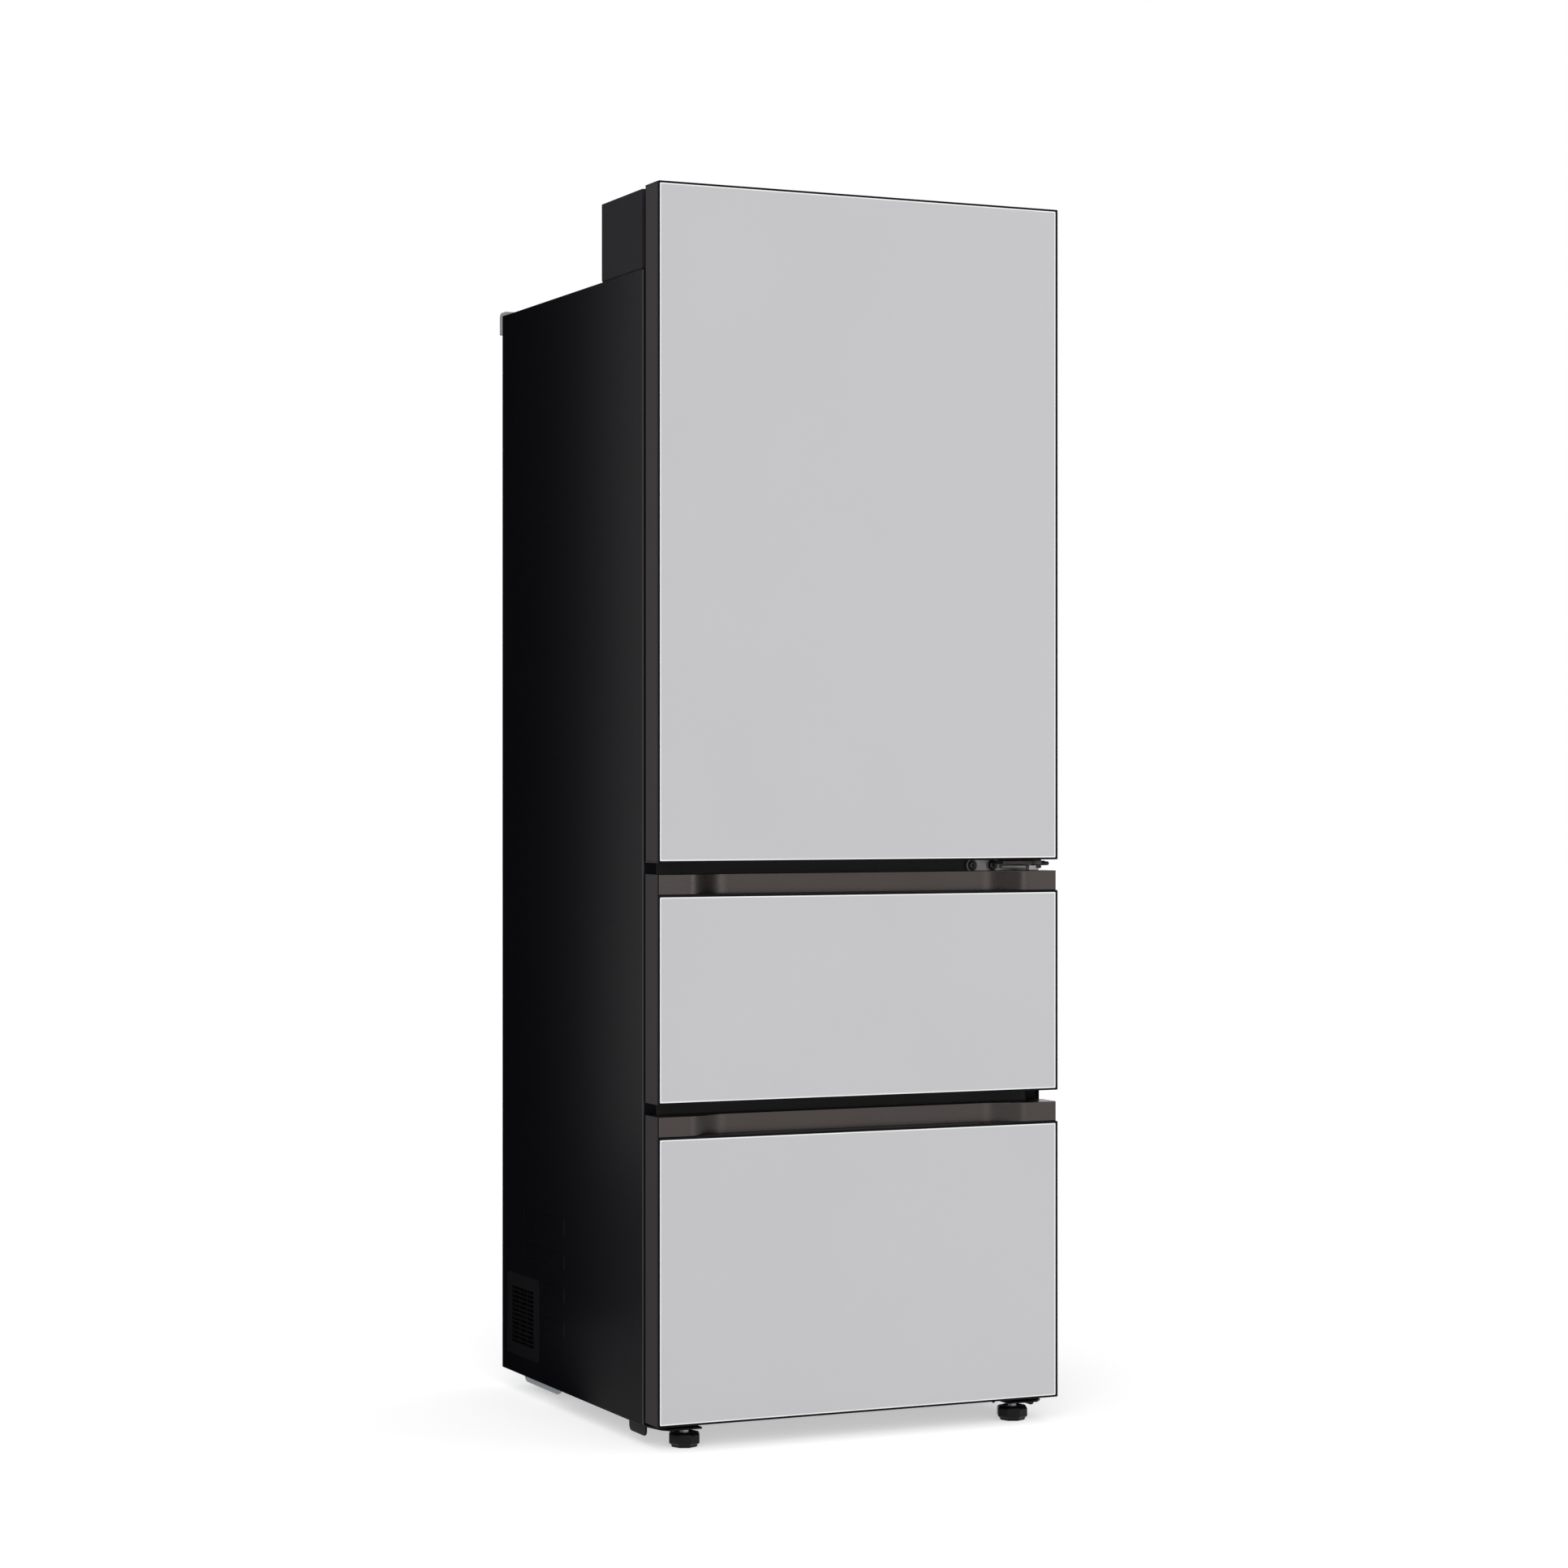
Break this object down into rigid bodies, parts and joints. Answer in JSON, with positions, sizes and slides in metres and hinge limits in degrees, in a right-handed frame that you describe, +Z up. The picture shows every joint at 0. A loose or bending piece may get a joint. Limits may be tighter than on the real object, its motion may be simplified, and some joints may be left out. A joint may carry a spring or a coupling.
{
  "type": "kimchi refrigerator",
  "caption": "Tall free-standing kimchi refrigerator with a hinged upper door over full-extension drawers, recessed bronze handle trims, pale front panels and a dark steel cabinet.",
  "frame": {"origin": "on the floor, under the centre of the whole appliance's box", "axes": "+Z up, -Y towards the front that carries the door and the drawers, +X to the right as seen from the front"},
  "size_m": [0.666, 0.676, 1.866],
  "materials": {
    "panel_grey": "satin",
    "frame_brown": "satin",
    "trim_bronze": "satin",
    "skin_black": "satin",
    "box_black": "matte",
    "cover_black": "matte",
    "liner_white": "satin",
    "foam_cream": "matte",
    "rubber_grey": "matte",
    "zinc_steel": "satin",
    "galvanised": "satin",
    "leg_black": "matte",
    "bracket_black": "matte",
    "clear_tray": "gloss",
    "bin_grey": "satin",
    "shelf_glass": "gloss",
    "aluminium": "satin",
    "motor_black": "satin",
    "board_green": "satin",
    "spacer_grey": "matte"
  },
  "bodies": {
    "cabinet": {"cabinet_shell": "skin_black", "insulation_foam": "foam_cream", "back_panel": "galvanised", "upper_liner": "liner_white", "middle_liner": "liner_white", "lower_liner": "liner_white", "upper_mullion_cover": "cover_black", "lower_mullion_cover": "cover_black", "machine_base": "galvanised", "machine_cover": "galvanised", "compressor": "motor_black", "condenser": "aluminium", "fan_shroud": "motor_black", "side_vent_left": "cover_black", "side_vent_right": "cover_black", "top_box": "box_black", "top_hinge": "zinc_steel", "middle_hinge": "zinc_steel", "control_board": "board_green", "rear_spacer_left": "spacer_grey", "rear_spacer_right": "spacer_grey", "leg_bracket_left": "bracket_black", "leg_bracket_right": "bracket_black", "evaporator_cover": "liner_white", "evaporator": "aluminium", "upper_shelf": "shelf_glass", "lower_shelf": "shelf_glass", "middle_rail_left": "zinc_steel", "middle_rail_right": "zinc_steel", "lower_rail_left": "zinc_steel", "lower_rail_right": "zinc_steel"},
    "door": {"door_panel": "panel_grey", "door_frame": "frame_brown", "door_top_cap": "frame_brown", "door_bottom_cap": "frame_brown", "door_liner": "liner_white", "door_gasket": "rubber_grey", "door_bin_upper": "clear_tray", "door_bin_lower": "clear_tray"},
    "middle_drawer": {"middle_panel": "panel_grey", "middle_front": "frame_brown", "middle_handle_trim": "trim_bronze", "middle_gasket": "rubber_grey", "middle_carriage": "zinc_steel", "middle_bin": "bin_grey"},
    "middle_slide_left": {"middle_slide_left": "zinc_steel"},
    "middle_slide_right": {"middle_slide_right": "zinc_steel"},
    "lower_drawer": {"lower_panel": "panel_grey", "lower_front": "frame_brown", "lower_handle_trim": "trim_bronze", "lower_gasket": "rubber_grey", "lower_carriage": "zinc_steel", "lower_bin": "bin_grey"},
    "lower_slide_left": {"lower_slide_left": "zinc_steel"},
    "lower_slide_right": {"lower_slide_right": "zinc_steel"},
    "foot_left": {"foot_left": "leg_black"},
    "roller_left": {"roller_left": "leg_black"},
    "foot_right": {"foot_right": "leg_black"},
    "roller_right": {"roller_right": "leg_black"},
    "condenser_fan": {"condenser_fan": "bin_grey"}
  },
  "joints": [
    {"name": "door_hinge", "type": "hinge", "parent": "cabinet", "child": "door", "pos_m": [0.311, -0.308, 0.865], "axis": [0, 0, 1], "range_deg": [0, 110]},
    {"name": "middle_drawer_slide", "type": "slide", "parent": "cabinet", "child": "middle_drawer", "axis": [0, -1, 0], "range_m": [0, 0.45]},
    {"name": "middle_member_left", "type": "slide", "parent": "cabinet", "child": "middle_slide_left", "axis": [0, -1, 0], "range_m": [0, 0.225]},
    {"name": "middle_member_right", "type": "slide", "parent": "cabinet", "child": "middle_slide_right", "axis": [0, -1, 0], "range_m": [0, 0.225]},
    {"name": "lower_drawer_slide", "type": "slide", "parent": "cabinet", "child": "lower_drawer", "axis": [0, -1, 0], "range_m": [0, 0.45]},
    {"name": "lower_member_left", "type": "slide", "parent": "cabinet", "child": "lower_slide_left", "axis": [0, -1, 0], "range_m": [0, 0.225]},
    {"name": "lower_member_right", "type": "slide", "parent": "cabinet", "child": "lower_slide_right", "axis": [0, -1, 0], "range_m": [0, 0.225]},
    {"name": "foot_left_height", "type": "slide", "parent": "cabinet", "child": "foot_left", "axis": [0, 0, 1], "range_m": [-0.004, 0]},
    {"name": "foot_right_height", "type": "slide", "parent": "cabinet", "child": "foot_right", "axis": [0, 0, 1], "range_m": [-0.004, 0]},
    {"name": "roller_left_spin", "type": "hinge", "parent": "cabinet", "child": "roller_left", "pos_m": [-0.271, 0.272, 0.015], "axis": [1, 0, 0], "continuous": true},
    {"name": "roller_right_spin", "type": "hinge", "parent": "cabinet", "child": "roller_right", "pos_m": [0.271, 0.272, 0.015], "axis": [1, 0, 0], "continuous": true},
    {"name": "fan_spin", "type": "hinge", "parent": "cabinet", "child": "condenser_fan", "pos_m": [-0.088, 0.2085, 0.1575], "axis": [1, 0, 0], "continuous": true}
  ],
  "couplings": [
    {"joint": "middle_member_left", "follows": "middle_drawer_slide", "ratio": 0.5},
    {"joint": "middle_member_right", "follows": "middle_drawer_slide", "ratio": 0.5},
    {"joint": "lower_member_left", "follows": "lower_drawer_slide", "ratio": 0.5},
    {"joint": "lower_member_right", "follows": "lower_drawer_slide", "ratio": 0.5}
  ]
}
